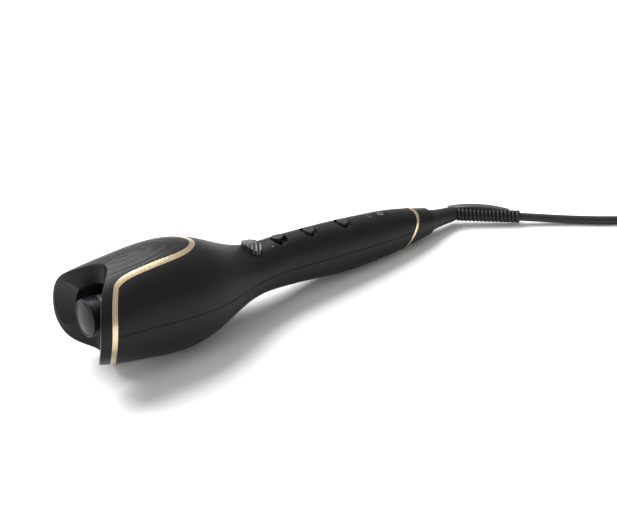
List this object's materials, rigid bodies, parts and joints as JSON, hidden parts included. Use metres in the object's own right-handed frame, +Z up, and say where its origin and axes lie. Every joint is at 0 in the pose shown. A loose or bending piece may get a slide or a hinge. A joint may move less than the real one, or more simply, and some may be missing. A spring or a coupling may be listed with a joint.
{
  "type": "automatic hair curler",
  "caption": "Automatic hair curler: hollow rounded head with an open curved mouth, inner heated barrel and winding rotor, slim handle with sliders, swivel cord.",
  "frame": {"origin": "centre of the tool's bounding box on the surface it rests on, without the cord", "axes": "+Z up, +X from the heated head towards the cord, -Y is the side with the tall near wall of the mouth"},
  "size_m": [0.6125, 0.1599, 0.0814],
  "materials": {
    "charcoal": "soft-touch satin charcoal",
    "cover_charcoal": "satin charcoal",
    "champagne": "champagne gold metal paint",
    "barrel_gold": "champagne gold ceramic coat",
    "black_heat": "heat-proof black",
    "cap_grey": "satin dark grey",
    "liner_black": "matt black",
    "button_grey": "satin grey",
    "pocket_black": "gloss black",
    "clear": "clear light guide",
    "aluminium": "extruded",
    "ceramic": "white ceramic",
    "steel": "plated steel",
    "brass": "machined brass",
    "white_plastic": "acetal",
    "board_green": "glass-epoxy board",
    "part_dark": "moulded component",
    "soft_black": "soft rubber"
  },
  "bodies": {
    "cord_end": {"swivel_cone": "charcoal", "slip_rings": "brass", "strain_relief": "soft_black", "hanging_loop": "soft_black", "cord_tube": "soft_black", "cord_coil": "soft_black", "cord_tail": "soft_black", "plug_body": "soft_black", "plug_pins": "steel"},
    "handle": {"handle_upper_shell": "charcoal", "handle_lower_shell": "charcoal", "chamber_cover": "cover_charcoal", "trim_band": "champagne", "chamber_liner": "liner_black", "rear_ring": "champagne", "tail_cap": "charcoal", "barrel": "barrel_gold", "barrel_sleeve": "black_heat", "barrel_end_cap": "cap_grey", "heat_spreader_lower": "aluminium", "heat_spreader_upper": "aluminium", "ptc_heater": "ceramic", "thermal_fuse": "steel", "rotor_bearing": "white_plastic", "barrel_bulkhead": "black_heat", "motor_gearbox": "brass", "motor_can": "steel", "control_board": "board_green", "mains_board": "board_green", "capacitor": "part_dark", "transformer": "part_dark", "curl_switch": "part_dark", "power_switch": "part_dark", "slide_switches": "steel", "indicator_lights": "clear", "slider_pockets": "pocket_black", "power_ring": "pocket_black", "shell_screws": "steel", "swivel_bearing": "white_plastic"},
    "rotor_unit": {"rotor": "black_heat", "rotor_gear": "white_plastic"},
    "pinion_unit": {"motor_pinion": "brass"},
    "curl_button_unit": {"curl_button": "cap_grey"},
    "direction_unit": {"direction_slider": "button_grey"},
    "timer_unit": {"timer_slider": "button_grey"},
    "temperature_unit": {"temperature_slider": "button_grey"},
    "power_unit": {"power_button": "charcoal"}
  },
  "joints": [
    {"name": "cord_swivel", "type": "hinge", "parent": "cord_end", "child": "handle", "pos_m": [0.15082, 0, 0.00917], "axis": [0.9938, 0, -0.1115], "continuous": true},
    {"name": "rotor_spin", "type": "hinge", "parent": "handle", "child": "rotor_unit", "pos_m": [-0.1811, 0, 0.0464], "axis": [0.9938, 0, -0.1115], "continuous": true},
    {"name": "pinion_spin", "type": "hinge", "parent": "handle", "child": "pinion_unit", "pos_m": [-0.11054, 0.022, 0.03849], "axis": [0.9938, 0, -0.1115], "continuous": true},
    {"name": "curl_button_press", "type": "slide", "parent": "handle", "child": "curl_button_unit", "axis": [-0.1115, 0, -0.9938], "range_m": [0, 0.001], "stiffness_N_per_m": 1500, "springref_m": -0.0006},
    {"name": "power_button_press", "type": "slide", "parent": "handle", "child": "power_unit", "axis": [-0.1115, 0, -0.9938], "range_m": [0, 0.0008], "stiffness_N_per_m": 1500, "springref_m": -0.0006},
    {"name": "direction_slide", "type": "slide", "parent": "handle", "child": "direction_unit", "axis": [0, 1, 0], "range_m": [-0.005, 0]},
    {"name": "timer_slide", "type": "slide", "parent": "handle", "child": "timer_unit", "axis": [0, 1, 0], "range_m": [-0.0025, 0.0025]},
    {"name": "temperature_slide", "type": "slide", "parent": "handle", "child": "temperature_unit", "axis": [0, 1, 0], "range_m": [-0.0025, 0.0025]}
  ],
  "couplings": [
    {"joint": "pinion_spin", "follows": "rotor_spin", "ratio": -4}
  ]
}
